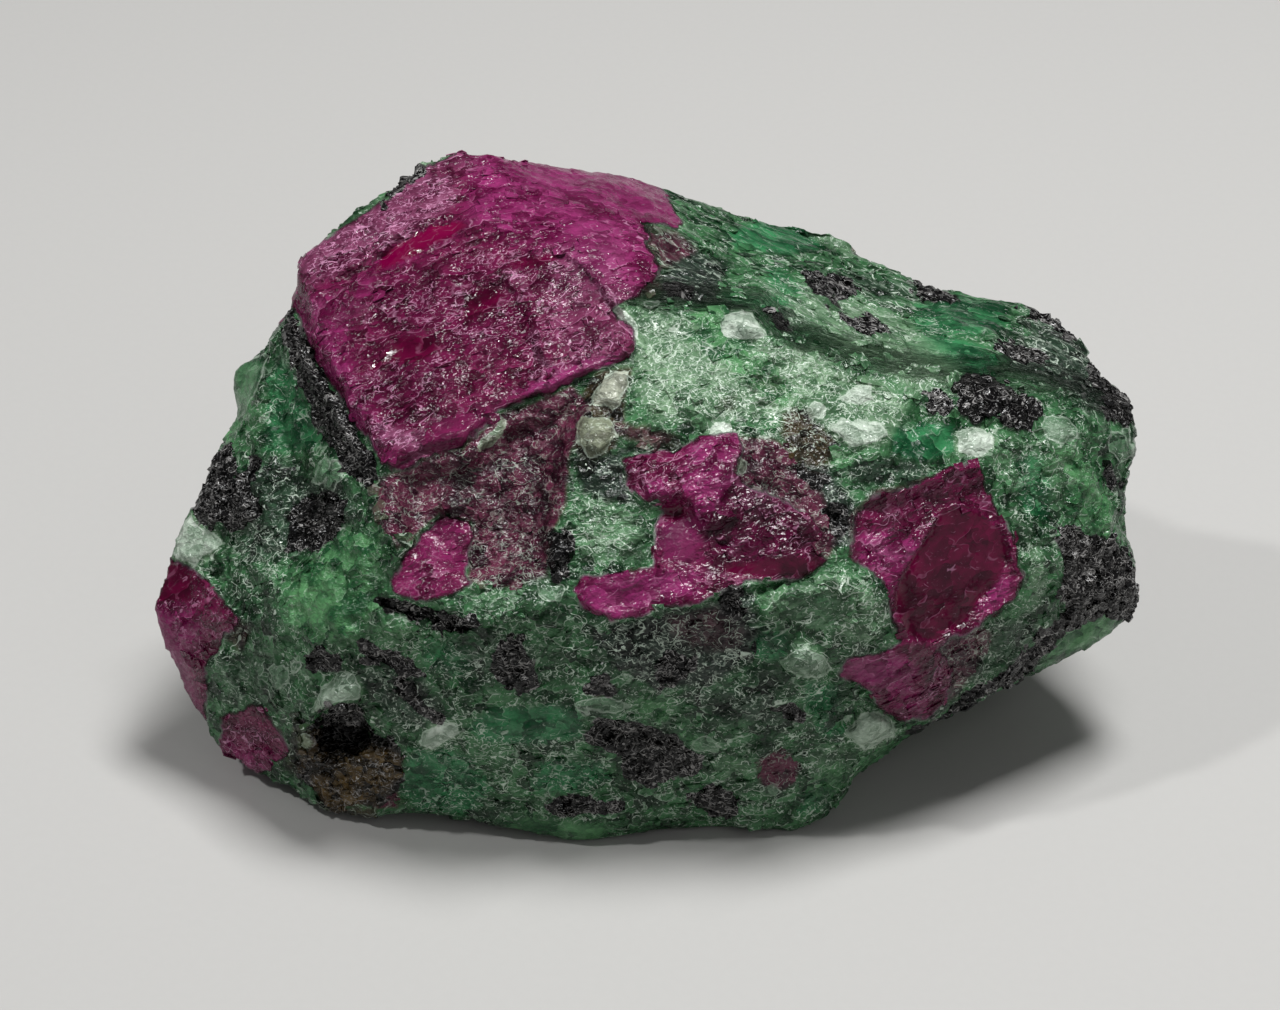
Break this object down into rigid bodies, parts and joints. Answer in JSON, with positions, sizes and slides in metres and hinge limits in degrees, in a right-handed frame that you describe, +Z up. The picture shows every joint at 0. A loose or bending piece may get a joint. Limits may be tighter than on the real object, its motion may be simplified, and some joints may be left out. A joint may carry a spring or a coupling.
{
  "type": "ruby in zoisite specimen",
  "caption": "Rough hand-sized piece of green zoisite rock with embedded red ruby crystals and black hornblende, lying on a flat broken face.",
  "frame": {"origin": "on the resting face, under the middle of the stone's bounding box", "axes": "+X along the stone towards its narrower end, +Y from its show side to its back, +Z up"},
  "size_m": [0.0597, 0.0346, 0.0314],
  "materials": {
    "zoisite_rock": "rough broken stone with glassy crystals"
  },
  "bodies": {
    "root": {"stone": "zoisite_rock"}
  },
  "joints": []
}
